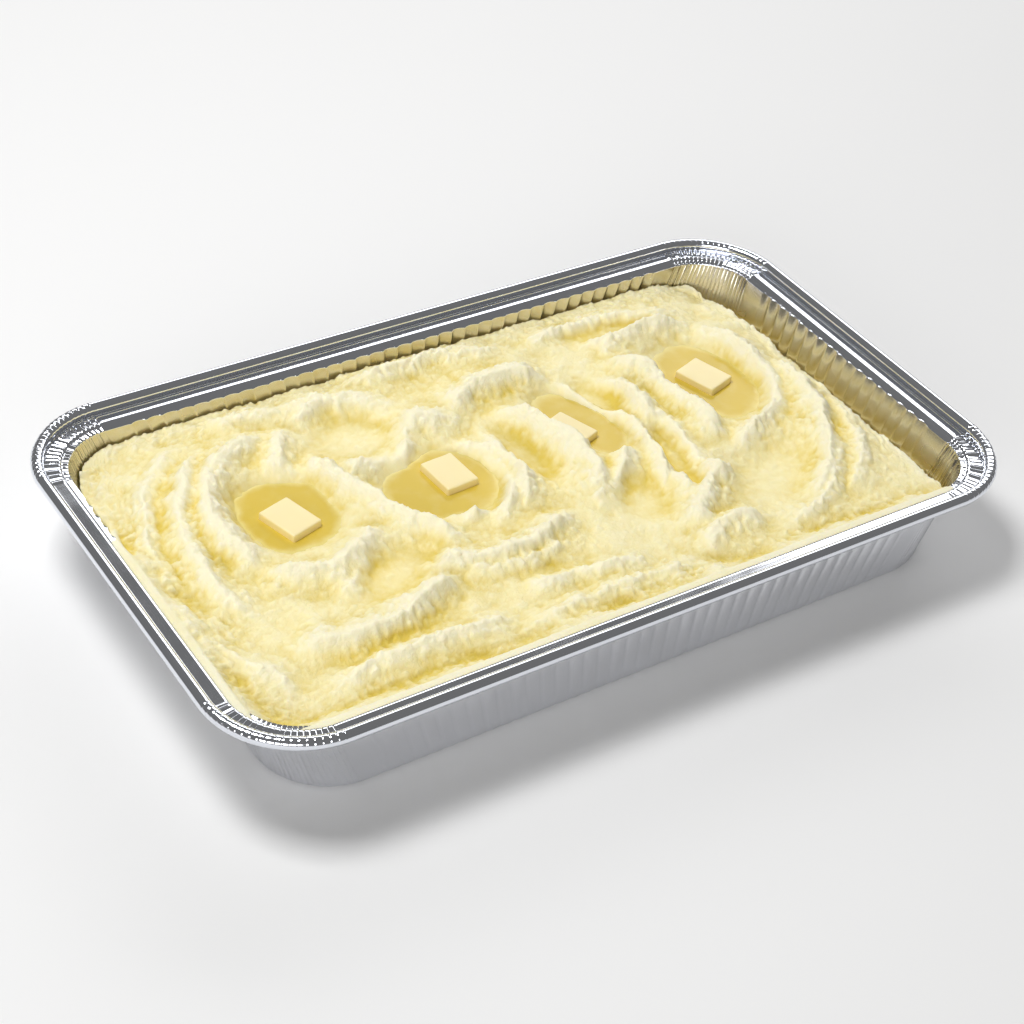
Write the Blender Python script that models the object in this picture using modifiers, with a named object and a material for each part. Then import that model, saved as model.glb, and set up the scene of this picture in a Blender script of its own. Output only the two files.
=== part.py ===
"""Mashed potato in a rectangular foil tray, with four butter pats in melted butter.

The tray stands on its flat base at Z = 0, long side along X, centred on the Z axis.
Every length is in metres; MM turns a size in millimetres into metres.
"""

import math
from dataclasses import dataclass

import bmesh
import bpy
import numpy as np

MM = 0.001
OBJECT_NAME = "mashed_potato_tray"
GAP = 0.3 * MM

# Foil tray, outside sizes over the curl
TRAY_LENGTH = 527.0 * MM
TRAY_WIDTH = 314.0 * MM
TRAY_CORNER = 58.0 * MM
FLANGE_HEIGHT = 59.4 * MM
FOIL = 0.6 * MM
CURL_RADIUS = 3.8 * MM
CURL_RISE = 3.0 * MM
CURL_ANGLES = (-90.0, -42.0, 0.0, 45.0, 90.0, 142.0)
FLANGE_INNER = 16.7 * MM
LEDGE_INNER = 21.4 * MM
LEDGE_DROP = 1.6 * MM
BASE_INSET_X = 38.0 * MM
BASE_INSET_Y = 23.5 * MM
BASE_CORNER = 43.0 * MM
BASE_EDGE = 2.5 * MM
FLUTE_DEPTH = 1.0 * MM
FLUTES_LONG = 29
FLUTES_SHORT = 14
CORNER_STEPS = 8

# Mashed potato
MASH_LEVEL = 47.6 * MM
MASH_TOP = 59.0 * MM
MASH_CELLS_X = 56
MASH_CELLS_Y = 32
WALL_CLEARANCE = 0.6 * MM
# Ridges' height and width against those listed, and the share of the arc that each end tapers over
RIDGE_GAIN = 1.5
RIDGE_SPREAD = 1.3
RIDGE_TAPER = 0.2
# How the mash falls away at the right and the back, and stands against the front and the left (mm)
RIGHT_DROP = 12.0
BACK_RISE = 2.0
FRONT_RISE = 8.0
RIGHT_CORNER_DROP = 5.0
LEFT_CORNER_DROP = 1.5
BORDER = 15.0
RIGHT_BORDER = 20.0
# Where along the left side that rise has died away, and over what length
LEFT_RISE_END = 60.0
LEFT_RISE_FADE = 50.0
# Where the two back corners' falls begin, along X and along Y, and the lengths they take
RIGHT_CORNER_X = (186.0, 34.0)
LEFT_CORNER_X = (190.0, 36.0)
BACK_CORNER_Y = (84.0, 42.0)
# The share of its full depth that a hollow without a pool reaches, and every hollow's slope
DRY_HOLLOW_SHARE = 0.85
HOLLOW_SLOPE = 1.6

# Butter
PAT_LENGTH = 29.0 * MM
PAT_WIDTH = 22.0 * MM
PAT_TOP = 48.9 * MM
PAT_BEVEL = 0.9 * MM
POOL_LEVEL = 44.4 * MM
POOL_DEPTH = 1.9 * MM
POOL_SIDES = 28
POOL_FLARE = 1.12
CUTTER_RISE = 30.0 * MM


@dataclass(frozen=True)
class Ridge:
    """A crest that the spoon pushed up, on the arc through three points, in millimetres.

    Inner is the width of the slope on the side of the arc's centre, outer of the other.
    """

    start: tuple
    via: tuple
    end: tuple
    rise: float
    inner: float
    outer: float


@dataclass(frozen=True)
class Hollow:
    """A dip that blends the surface down to a floor, in millimetres and degrees."""

    centre: tuple
    radii: tuple
    turn: float
    floor: float
    steep: float = 1.0


@dataclass(frozen=True)
class Well:
    """A hollow with a pool of melted butter and a butter pat in it, in millimetres and degrees."""

    number: int
    hollow: Hollow
    pool_centre: tuple
    pool_radii: tuple
    pat_centre: tuple
    pat_turn: float


WELLS = (
    Well(1, Hollow((-141, 33), (38, 43), -8, 42.7, 1.6), (-141, 33), (26, 29), (-143, 27), 16),
    Well(2, Hollow((-48, 16), (48, 41), 4, 42.7, 1.6), (-48, 16), (33, 28), (-40, 22), 4),
    Well(3, Hollow((61, 30), (25, 51), 14, 42.7, 1.5), (61, 30), (16, 33), (47, 25), 20),
    Well(4, Hollow((160, 32), (38, 57), 4, 42.7, 1.5), (160, 32), (25, 37), (158, 35), 18),
)

HOLLOWS = (
    Hollow((-72, 79), (40, 34), 20, 42.5, 1.2),
    Hollow((12, 20), (17, 44), 4, 42.5),
    Hollow((-112, -40), (44, 24), 24, 43.0),
    Hollow((85, 48), (13, 32), 14, 42.0),
    Hollow((140, -66), (50, 32), 30, 43.0),
    Hollow((92, -24), (12, 46), -12, 43.0),
    Hollow((128, 104), (50, 12), -4, 45.0),
    Hollow((52, -50), (22, 30), -34, 43.5),
)

RIDGES = (
    # round the left well
    Ridge((-110, 98), (-185, 42), (-170, -16), 7.0, 8, 8),
    Ridge((-181, -4), (-150, -25), (-112, -4), 5.5, 7, 7),
    Ridge((-100, 108), (-130, 62), (-119, -2), 5.0, 5, 9),
    Ridge((-152, -52), (-128, -30), (-106, 6), 4.5, 6, 8),
    Ridge((-150, 112), (-207, 28), (-196, -52), 6.0, 8, 7),
    Ridge((-160, 121), (-218, 60), (-224, -24), 4.0, 6, 6),
    Ridge((-202, -70), (-158, -83), (-82, -54), 7.0, 13, 5),
    Ridge((-228, 0), (-226, -62), (-196, -106), 3.0, 8, 8),
    # round the second well
    Ridge((-106, 82), (-95, 20), (-60, -47), 6.5, 6, 8),
    Ridge((-100, 33), (-56, 70), (0, 54), 6.5, 8, 9),
    Ridge((-72, 13), (-62, 36), (-42, 60), 6.0, 5, 5),
    Ridge((-30, 50), (-13, 14), (-46, -34), 5.5, 6, 7),
    Ridge((2, 52), (-1, 6), (-24, -38), 5.5, 6, 6),
    Ridge((-67, -13), (-57, -13), (-48, -28), 5.0, 5, 6),
    Ridge((-102, -36), (-44, -60), (6, -34), 6.5, 9, 5),
    Ridge((-86, -58), (-48, -70), (-8, -58), 4.0, 6, 5),
    Ridge((-104, 100), (-62, 106), (-44, 74), 4.5, 5, 10),
    # either side of the third well
    Ridge((14, 66), (38, 22), (20, -50), 7.5, 9, 6),
    Ridge((-14, 62), (26, 85), (66, 72), 6.5, 6, 10),
    Ridge((64, 76), (72, 10), (24, -47), 6.5, 6, 6),
    Ridge((72, 46), (83, 0), (56, -60), 5.5, 5, 5),
    Ridge((92, 68), (98, 0), (62, -76), 6.5, 6, 8),
    # round the right well
    Ridge((102, 82), (131, 24), (117, -34), 7.5, 9, 6),
    Ridge((106, 76), (136, 93), (178, 84), 5.5, 7, 9),
    Ridge((180, 88), (185, 4), (118, -36), 6.5, 7, 6),
    Ridge((207, 42), (199, -28), (128, -104), 6.5, 9, 5),
    Ridge((196, -50), (166, -88), (104, -112), 3.5, 5, 5),
    Ridge((216, -16), (202, -66), (160, -106), 3.5, 6, 6),
    Ridge((118, -46), (88, -62), (60, -98), 6.5, 7, 9),
    Ridge((52, -113), (66, -98), (104, -107), 5.0, 7, 7),
    # along the front and the back
    Ridge((-64, -92), (-28, -92), (24, -106), 4.5, 6, 6),
    Ridge((-206, -112), (-140, -104), (-66, -109), 4.5, 7, 7),
    Ridge((-84, -120), (0, -113), (64, -124), 4.0, 7, 7),
    Ridge((98, 92), (136, 99), (186, 78), 4.0, 6, 7),
    Ridge((-62, 118), (0, 124), (62, 112), 4.5, 8, 8),
    Ridge((-160, 124), (-96, 116), (-30, 104), 3.5, 7, 7),
    Ridge((62, 114), (120, 112), (194, 96), 4.0, 7, 7),
)


def smooth_step(value):
    """Ease a 0-to-1 ramp at both ends."""
    value = np.clip(value, 0.0, 1.0)
    return value * value * (3.0 - 2.0 * value)


def arc_place(x, y, ridge):
    """How far points lie along a ridge's arc, 0 to 1, and how far outside it, in millimetres."""
    (ax, ay), (bx, by), (cx, cy) = ridge.start, ridge.via, ridge.end
    scale = 2.0 * (ax * (by - cy) + bx * (cy - ay) + cx * (ay - by))
    a, b, c = ax * ax + ay * ay, bx * bx + by * by, cx * cx + cy * cy
    centre_x = (a * (by - cy) + b * (cy - ay) + c * (ay - by)) / scale
    centre_y = (a * (cx - bx) + b * (ax - cx) + c * (bx - ax)) / scale
    radius = math.hypot(ax - centre_x, ay - centre_y)
    first, middle, last = (math.atan2(point[1] - centre_y, point[0] - centre_x)
                           for point in (ridge.start, ridge.via, ridge.end))
    turn = 2.0 * math.pi
    forward = (middle - first) % turn < (last - first) % turn
    sweep = (last - first) % turn if forward else -((first - last) % turn)
    angle = np.arctan2(y - centre_y, x - centre_x)
    offset = np.mod(angle - first - sweep / 2.0 + math.pi, turn) - math.pi
    return 0.5 + offset / sweep, np.hypot(x - centre_x, y - centre_y) - radius


def ridge_rise(x, y, ridge):
    """Height that a ridge adds, tapered to nothing at its two ends, in millimetres."""
    along, outside = arc_place(x, y, ridge)
    width = RIDGE_SPREAD * np.where(outside < 0.0, ridge.inner, ridge.outer)
    taper = smooth_step(along / RIDGE_TAPER) * smooth_step((1.0 - along) / RIDGE_TAPER)
    return RIDGE_GAIN * ridge.rise * taper * np.exp(-((outside / width) ** 2))


def hollow_share(x, y, hollow):
    """How far each point belongs to a hollow: 0 outside and 1 on its floor."""
    angle = math.radians(hollow.turn)
    dx = x - hollow.centre[0]
    dy = y - hollow.centre[1]
    along = dx * math.cos(angle) + dy * math.sin(angle)
    across = dy * math.cos(angle) - dx * math.sin(angle)
    distance = np.hypot(along / hollow.radii[0], across / hollow.radii[1])
    return smooth_step((1.0 - distance) * HOLLOW_SLOPE * hollow.steep)


def mash_height(x, y):
    """Height of the mashed potato's surface over the point x, y."""
    x = x / MM
    y = y / MM
    half_x = (TRAY_LENGTH / 2.0 - LEDGE_INNER) / MM
    half_y = (TRAY_WIDTH / 2.0 - LEDGE_INNER) / MM
    height = np.full_like(x, MASH_LEVEL / MM)
    height -= RIGHT_DROP * smooth_step((x - half_x + RIGHT_BORDER) / RIGHT_BORDER)
    height += BACK_RISE * smooth_step((y - half_y + BORDER) / BORDER)
    height += FRONT_RISE * smooth_step((-y - half_y + BORDER) / BORDER)
    left_share = smooth_step((LEFT_RISE_END - y) / LEFT_RISE_FADE)
    height += FRONT_RISE * smooth_step((-x - half_x + BORDER) / BORDER) * left_share
    back = (y - BACK_CORNER_Y[0]) / BACK_CORNER_Y[1]
    right = (x - RIGHT_CORNER_X[0]) / RIGHT_CORNER_X[1]
    left = (-x - LEFT_CORNER_X[0]) / LEFT_CORNER_X[1]
    height -= RIGHT_CORNER_DROP * smooth_step(np.minimum(right, back))
    height -= LEFT_CORNER_DROP * smooth_step(np.minimum(left, back))
    crests = np.cbrt(sum(ridge_rise(x, y, ridge) ** 3 for ridge in RIDGES))
    height += crests
    for hollow in HOLLOWS:
        height += (hollow.floor - height) * hollow_share(x, y, hollow) * DRY_HOLLOW_SHARE
    for well in WELLS:
        height += (well.hollow.floor - height) * hollow_share(x, y, well.hollow)
    return np.minimum(height * MM, MASH_TOP)


def tray_columns():
    """Places round the tray: corner or side, position along it, and the flute's side.

    Each entry is (sign_x, sign_y, kind, value, flute): on a side value runs from -1 to 1
    along it, at a corner it is the angle in degrees from the side before.
    """
    columns = []
    sides = (
        (1, 0, FLUTES_SHORT, (1, 1)),
        (0, 1, FLUTES_LONG, (-1, 1)),
        (-1, 0, FLUTES_SHORT, (-1, -1)),
        (0, -1, FLUTES_LONG, (1, -1)),
    )
    for sign_x, sign_y, flutes, corner in sides:
        steps = 2 * flutes
        for step in range(steps + 1):
            flute = 0 if step in (0, steps) else (1 if step % 2 else -1)
            columns.append((sign_x, sign_y, "side", 2.0 * step / steps - 1.0, flute))
        for step in range(1, CORNER_STEPS):
            columns.append((corner[0], corner[1], "corner", 90.0 * step / CORNER_STEPS, 0))
    return columns


def rounded_outline(columns, half_x, half_y, corner, flute_depth=0.0):
    """Points of a rounded rectangle at the given places, counter-clockwise from above."""
    points = []
    run_x = half_x - corner
    run_y = half_y - corner
    for sign_x, sign_y, kind, value, flute in columns:
        if kind == "corner":
            start = {(1, 1): 0.0, (-1, 1): 90.0, (-1, -1): 180.0, (1, -1): 270.0}[(sign_x, sign_y)]
            angle = math.radians(start + value)
            points.append((sign_x * run_x + corner * math.cos(angle),
                           sign_y * run_y + corner * math.sin(angle)))
        elif sign_x:
            points.append((sign_x * (half_x + flute * flute_depth), sign_x * value * run_y))
        else:
            points.append((-sign_y * value * run_x, sign_y * (half_y + flute * flute_depth)))
    return points


def add_ring(bm, outline, height):
    """Add one ring of vertices at a height, or at one height for each point."""
    heights = height if hasattr(height, "__len__") else [height] * len(outline)
    return [bm.verts.new((x, y, z)) for (x, y), z in zip(outline, heights)]


def bridge(bm, lower, upper):
    """Join two rings of the same number of vertices by a band of quads."""
    count = len(lower)
    for i in range(count):
        j = (i + 1) % count
        bm.faces.new((lower[i], lower[j], upper[j], upper[i]))


def make_material(name, colour, roughness, metallic=0.0):
    """A Principled material with a plain colour."""
    material = bpy.data.materials.new(name)
    material.use_nodes = True
    shader = material.node_tree.nodes["Principled BSDF"]
    shader.inputs["Base Color"].default_value = (*colour, 1.0)
    shader.inputs["Roughness"].default_value = roughness
    shader.inputs["Metallic"].default_value = metallic
    return material


def link_mesh(name, bm, material, collection):
    """Turn a bmesh into an object in the collection, with one material."""
    bmesh.ops.triangulate(bm, faces=[face for face in bm.faces if len(face.verts) > 3])
    mesh = bpy.data.meshes.new(name)
    bm.to_mesh(mesh)
    bm.free()
    part = bpy.data.objects.new(name, mesh)
    mesh.materials.append(material)
    collection.objects.link(part)
    return part


def inner_half_sizes(height):
    """Half length, half width and corner radius of the tray's inside at a height."""
    share = np.clip(height / (FLANGE_HEIGHT - LEDGE_DROP), 0.0, 1.0)
    half_x = TRAY_LENGTH / 2.0 - BASE_INSET_X + share * (BASE_INSET_X - LEDGE_INNER)
    half_y = TRAY_WIDTH / 2.0 - BASE_INSET_Y + share * (BASE_INSET_Y - LEDGE_INNER)
    corner = BASE_CORNER + share * (TRAY_CORNER - LEDGE_INNER - BASE_CORNER)
    return half_x, half_y, corner


def make_tray(collection):
    """The foil tray: fluted walls, a flat flange and a round curl, as one closed shell."""
    columns = tray_columns()
    half_x = TRAY_LENGTH / 2.0
    half_y = TRAY_WIDTH / 2.0
    bm = bmesh.new()

    def inset_ring(inset, height, flute=0.0):
        outline = rounded_outline(columns, half_x - inset, half_y - inset, TRAY_CORNER - inset, flute)
        return add_ring(bm, outline, height)

    def wall_ring(height, outward, flute=0.0, pull=0.0):
        size_x, size_y, corner = inner_half_sizes(height)
        grow = outward - pull
        outline = rounded_outline(columns, size_x + grow, size_y + grow, corner + grow, flute)
        return add_ring(bm, outline, height)

    curl_height = FLANGE_HEIGHT + CURL_RISE
    rings = [
        wall_ring(0.0, FOIL, pull=BASE_EDGE * 0.7),
        wall_ring(BASE_EDGE, FOIL, FLUTE_DEPTH * 0.4),
        inset_ring(LEDGE_INNER - FOIL, FLANGE_HEIGHT - LEDGE_DROP - FOIL, FLUTE_DEPTH),
        inset_ring(FLANGE_INNER - FOIL, FLANGE_HEIGHT - FOIL),
    ]
    for degrees in CURL_ANGLES:
        angle = math.radians(degrees)
        inset = CURL_RADIUS - CURL_RADIUS * math.cos(angle)
        rings.append(inset_ring(inset, curl_height + CURL_RADIUS * math.sin(angle)))
    curl_foot = CURL_RADIUS + math.sqrt(CURL_RADIUS ** 2 - CURL_RISE ** 2)
    rings += [
        inset_ring(curl_foot, FLANGE_HEIGHT),
        inset_ring(FLANGE_INNER, FLANGE_HEIGHT),
        inset_ring(LEDGE_INNER, FLANGE_HEIGHT - LEDGE_DROP, FLUTE_DEPTH),
        wall_ring(BASE_EDGE + FOIL, 0.0, FLUTE_DEPTH * 0.4),
        wall_ring(FOIL, 0.0, pull=BASE_EDGE * 0.7),
    ]
    for lower, upper in zip(rings, rings[1:]):
        bridge(bm, lower, upper)
    bm.faces.new(list(reversed(rings[0])))
    bm.faces.new(rings[-1])
    foil = make_material("foil", (0.74, 0.75, 0.77), 0.25, 1.0)
    tray = link_mesh("foil_tray", bm, foil, collection)
    tray.data.shade_smooth()
    tray.data.set_sharp_from_angle(angle=math.radians(35.0))
    return tray


def round_corner(u, v, half_x, half_y, corner):
    """Move the square corner of a rectangular grid onto a rounded one."""
    over_u = np.abs(u) - (half_x - corner)
    over_v = np.abs(v) - (half_y - corner)
    inside = (over_u <= 0.0) | (over_v <= 0.0)
    length = np.maximum(np.hypot(over_u, over_v), 1e-9)
    scale = np.where(inside, 1.0, np.maximum(over_u, over_v) / length)
    x = np.where(inside, u, np.sign(u) * (half_x - corner + over_u * scale))
    y = np.where(inside, v, np.sign(v) * (half_y - corner + over_v * scale))
    return x, y


def make_mash(collection):
    """The mashed potato: spooned surface, sides along the tray's walls, flat underneath."""
    inset = WALL_CLEARANCE + FLUTE_DEPTH
    full_x, full_y, full_corner = inner_half_sizes(MASH_LEVEL)
    share_u = np.linspace(-1.0, 1.0, MASH_CELLS_X + 1)
    share_v = np.linspace(-1.0, 1.0, MASH_CELLS_Y + 1)
    grid_u, grid_v = np.meshgrid(share_u * (full_x - inset), share_v * (full_y - inset), indexing="ij")
    corner = full_corner - inset
    x, y = round_corner(grid_u, grid_v, full_x - inset, full_y - inset, corner)
    height = mash_height(x, y)
    size_x, size_y, _ = inner_half_sizes(height)
    x = x * (size_x - inset) / (full_x - inset)
    y = y * (size_y - inset) / (full_y - inset)

    bm = bmesh.new()
    grid = [[bm.verts.new((x[i, j], y[i, j], height[i, j])) for j in range(MASH_CELLS_Y + 1)]
            for i in range(MASH_CELLS_X + 1)]
    for i in range(MASH_CELLS_X):
        for j in range(MASH_CELLS_Y):
            bm.faces.new((grid[i][j], grid[i + 1][j], grid[i + 1][j + 1], grid[i][j + 1]))

    border = [(i, 0) for i in range(MASH_CELLS_X)]
    border += [(MASH_CELLS_X, j) for j in range(MASH_CELLS_Y)]
    border += [(i, MASH_CELLS_Y) for i in range(MASH_CELLS_X, 0, -1)]
    border += [(0, j) for j in range(MASH_CELLS_Y, 0, -1)]
    floor = FOIL + GAP
    foot = BASE_EDGE + WALL_CLEARANCE
    foot_x, foot_y, foot_corner = inner_half_sizes(floor)
    low = []
    for i, j in border:
        scaled = round_corner(np.array(share_u[i] * (foot_x - foot)), np.array(share_v[j] * (foot_y - foot)),
                              foot_x - foot, foot_y - foot, foot_corner - foot)
        low.append(bm.verts.new((float(scaled[0]), float(scaled[1]), floor)))
    bridge(bm, low, [grid[i][j] for i, j in border])
    bm.faces.new(list(reversed(low)))
    mash = make_material("mashed_potato", (0.87, 0.76, 0.45), 0.5)
    return link_mesh("mashed_potato", bm, mash, collection)


def oval_ring(bm, centre, radii, height, grow=0.0):
    """Ring of an oval, grown outward by a margin."""
    outline = []
    for step in range(POOL_SIDES):
        angle = 2.0 * math.pi * step / POOL_SIDES
        outline.append((centre[0] * MM + (radii[0] * MM + grow) * math.cos(angle),
                        centre[1] * MM + (radii[1] * MM + grow) * math.sin(angle)))
    return add_ring(bm, outline, height)


def make_pool(well, material, collection, name, grow=0.0, top=None):
    """A pool's solid, widening upward; grown and raised, it is the cutter for its bed."""
    level = POOL_LEVEL
    bottom = level - POOL_DEPTH
    bm = bmesh.new()
    low_radii = tuple(radius / POOL_FLARE for radius in well.pool_radii)
    rings = [oval_ring(bm, well.pool_centre, low_radii, bottom - grow, grow),
             oval_ring(bm, well.pool_centre, well.pool_radii, level, grow)]
    if top is not None:
        rings.append(oval_ring(bm, well.pool_centre, tuple(r * POOL_FLARE for r in well.pool_radii), top, grow))
    for lower, upper in zip(rings, rings[1:]):
        bridge(bm, lower, upper)
    bm.faces.new(list(reversed(rings[0])))
    bm.faces.new(rings[-1])
    return link_mesh(name, bm, material, collection)


def make_pat(well, material, collection, name, grow=0.0):
    """A butter pat with rounded edges, or the slightly larger block that cuts its bed."""
    bpy.ops.mesh.primitive_cube_add(size=1.0)
    pat = bpy.context.active_object
    pat.name = name
    pat.data.name = name
    bottom = POOL_LEVEL - POOL_DEPTH + GAP
    height = PAT_TOP - bottom
    size = (PAT_WIDTH + 2.0 * grow, PAT_LENGTH + 2.0 * grow, height + 2.0 * grow)
    for vertex in pat.data.vertices:
        vertex.co = [vertex.co[axis] * size[axis] for axis in range(3)]
    pat.location = (well.pat_centre[0] * MM, well.pat_centre[1] * MM, bottom + height / 2.0)
    pat.rotation_euler = (0.0, 0.0, math.radians(well.pat_turn))
    for owner in list(pat.users_collection):
        owner.objects.unlink(pat)
    collection.objects.link(pat)
    pat.data.materials.append(material)
    return pat


def round_edges(part, width):
    """Bevel a block's edges and shade it smooth."""
    bevel = part.modifiers.new("rounded_edges", "BEVEL")
    bevel.width = width
    bevel.segments = 2
    bevel.limit_method = "ANGLE"
    part.data.shade_smooth()


def cut(part, cutter):
    """Take a cutter's shape out of a part."""
    boolean = part.modifiers.new("cut_" + cutter.name, "BOOLEAN")
    boolean.operation = "DIFFERENCE"
    boolean.solver = "EXACT"
    boolean.object = cutter
    cutter.hide_render = True
    cutter.display_type = "WIRE"


def clear_scene():
    """Remove the objects that a new file starts with."""
    for old in list(bpy.data.objects):
        bpy.data.objects.remove(old, do_unlink=True)


def new_collection(name):
    """A collection linked to the scene."""
    collection = bpy.data.collections.new(name)
    bpy.context.scene.collection.children.link(collection)
    return collection


def main():
    """Build the tray, the mash and the butter."""
    clear_scene()
    parts = new_collection(OBJECT_NAME)
    cutters = new_collection("cutters")
    butter = make_material("butter", (0.93, 0.80, 0.42), 0.4)
    melted = make_material("melted_butter", (0.85, 0.68, 0.16), 0.08)
    make_tray(parts)
    mash = make_mash(parts)
    for well in WELLS:
        pool = make_pool(well, melted, parts, "melted_butter_%d" % well.number)
        pat = make_pat(well, butter, parts, "butter_pat_%d" % well.number)
        round_edges(pat, PAT_BEVEL)
        pool_bed = make_pool(well, melted, cutters, "pool_bed_%d" % well.number, GAP,
                             POOL_LEVEL + CUTTER_RISE)
        pat_bed = make_pat(well, butter, cutters, "pat_bed_%d" % well.number, GAP)
        cut(mash, pool_bed)
        cut(mash, pat_bed)
        cut(pool, pat_bed)


main()
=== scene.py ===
"""Looks of a foil tray of mashed potato with four butter pats in melted butter.

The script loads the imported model, replaces its nodes with finely shaped pieces in the same
place, dresses them, and adds a pale floor, soft studio lamps and a camera.
"""

import logging
import math
from dataclasses import dataclass
from enum import Enum

import bmesh
import bpy
import numpy as np
from mathutils import Matrix, Vector


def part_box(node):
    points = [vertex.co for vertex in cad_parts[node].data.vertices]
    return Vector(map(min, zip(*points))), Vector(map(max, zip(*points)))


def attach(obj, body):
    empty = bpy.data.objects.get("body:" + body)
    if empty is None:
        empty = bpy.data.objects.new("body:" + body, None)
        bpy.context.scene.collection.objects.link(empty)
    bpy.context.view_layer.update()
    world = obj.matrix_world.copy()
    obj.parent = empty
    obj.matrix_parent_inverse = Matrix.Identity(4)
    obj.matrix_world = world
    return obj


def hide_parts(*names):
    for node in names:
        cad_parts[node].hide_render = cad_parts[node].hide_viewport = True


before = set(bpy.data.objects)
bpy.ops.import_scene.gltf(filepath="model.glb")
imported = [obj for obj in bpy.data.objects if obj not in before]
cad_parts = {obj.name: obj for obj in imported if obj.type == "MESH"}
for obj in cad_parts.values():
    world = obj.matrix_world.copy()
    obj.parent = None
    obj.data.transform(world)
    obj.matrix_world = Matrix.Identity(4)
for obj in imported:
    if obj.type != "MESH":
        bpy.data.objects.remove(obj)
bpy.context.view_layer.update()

LOG = logging.getLogger("mashed_potato_tray")
MM = 0.001
BODY = "root"

Point = tuple[float, float]
Array = np.ndarray


# ---- Small tools ----

def linear(hex_colour: str) -> tuple[float, float, float, float]:
    """Turn an sRGB hex colour into linear light.

    Args:
        hex_colour: Six hex digits after a hash.

    Returns:
        Red, green, blue and an alpha of 1.
    """
    channels = [int(hex_colour[i:i + 2], 16) / 255.0 for i in (1, 3, 5)]
    light = [c / 12.92 if c <= 0.04045 else ((c + 0.055) / 1.055) ** 2.4 for c in channels]
    return (light[0], light[1], light[2], 1.0)


def add_node(tree: bpy.types.NodeTree, kind: str, settings: dict | None = None,
             links: dict | None = None) -> bpy.types.Node:
    """Add a node with its settings and links.

    Args:
        tree: The node tree it goes in.
        kind: The node's type name.
        settings: Values by attribute name, or by input socket name or number.
        links: Output sockets by the name or number of the input they feed.

    Returns:
        The new node.
    """
    node = tree.nodes.new(kind)
    for key, value in (settings or {}).items():
        if isinstance(key, str) and hasattr(node, key):
            setattr(node, key, value)
        else:
            node.inputs[key].default_value = value
    for key, socket in (links or {}).items():
        tree.links.new(socket, node.inputs[key])
    return node


def new_material(name: str) -> tuple[bpy.types.Material, bpy.types.NodeTree, bpy.types.Node]:
    """Make a material with a Principled shader.

    Args:
        name: The material's name.

    Returns:
        The material, its node tree and its shader.
    """
    material = bpy.data.materials.new(name)
    material.use_nodes = True
    tree = material.node_tree
    return material, tree, tree.nodes["Principled BSDF"]


def smooth_step(value: Array) -> Array:
    """Ease a 0-to-1 ramp at both ends."""
    value = np.clip(value, 0.0, 1.0)
    return value * value * (3.0 - 2.0 * value)


@dataclass(frozen=True)
class Noise:
    """Smooth random relief, the same on every run.

    Attributes:
        size: Width of one lump, in the units of the points.
        seed: Which random pattern.
        octaves: How many finer copies are added.
    """

    size: float
    seed: int
    octaves: int = 1

    CELLS = 256

    def __call__(self, x: Array, y: Array) -> Array:
        """Give the relief at points.

        Args:
            x: First coordinates.
            y: Second coordinates.

        Returns:
            Values about -1 to 1.
        """
        random = np.random.default_rng(self.seed)
        total = np.zeros(np.broadcast(x, y).shape)
        weight_sum = 0.0
        for octave in range(self.octaves):
            angles = random.uniform(0.0, 2.0 * math.pi, (self.CELLS, self.CELLS))
            weight = 0.5 ** octave
            scale = 2.0 ** octave / self.size
            total += weight * self._layer(x * scale, y * scale, angles)
            weight_sum += weight
        return total * 1.5 / weight_sum

    def _layer(self, u: Array, v: Array, angles: Array) -> Array:
        """One layer of gradient noise.

        Args:
            u: First coordinates, one cell to a unit.
            v: Second coordinates, one cell to a unit.
            angles: The direction of the slope at each cell corner.

        Returns:
            Values about -0.7 to 0.7.
        """
        cell_u = np.floor(u).astype(int)
        cell_v = np.floor(v).astype(int)
        part_u = u - cell_u
        part_v = v - cell_v
        ease_u = part_u ** 3 * (part_u * (part_u * 6.0 - 15.0) + 10.0)
        ease_v = part_v ** 3 * (part_v * (part_v * 6.0 - 15.0) + 10.0)

        def corner(step_u: int, step_v: int) -> Array:
            """Slope of one cell corner, read at the points."""
            angle = angles[(cell_u + step_u) % self.CELLS, (cell_v + step_v) % self.CELLS]
            return np.cos(angle) * (part_u - step_u) + np.sin(angle) * (part_v - step_v)

        near = corner(0, 0) * (1.0 - ease_u) + corner(1, 0) * ease_u
        far = corner(0, 1) * (1.0 - ease_u) + corner(1, 1) * ease_u
        return near * (1.0 - ease_v) + far * ease_v


def mesh_from_arrays(name: str, points: Array, quads: Array, triangles: Array) -> bpy.types.Mesh:
    """Make a mesh from arrays of points and faces.

    Args:
        name: The mesh's name.
        points: One row of x, y, z for each point, in metres.
        quads: One row of four point numbers for each quad.
        triangles: One row of three point numbers for each triangle.

    Returns:
        The mesh, shaded smooth.
    """
    mesh = bpy.data.meshes.new(name)
    mesh.vertices.add(len(points))
    mesh.vertices.foreach_set("co", points.astype(np.float32).ravel())
    corners = np.concatenate([quads.ravel(), triangles.ravel()]).astype(np.int32)
    sizes = np.concatenate([np.full(len(quads), 4), np.full(len(triangles), 3)])
    starts = np.concatenate([[0], np.cumsum(sizes)[:-1]]).astype(np.int32)
    mesh.loops.add(len(corners))
    mesh.loops.foreach_set("vertex_index", corners)
    mesh.polygons.add(len(sizes))
    mesh.polygons.foreach_set("loop_start", starts)
    mesh.update(calc_edges=True)
    mesh.validate()
    mesh.shade_smooth()
    return mesh


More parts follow.
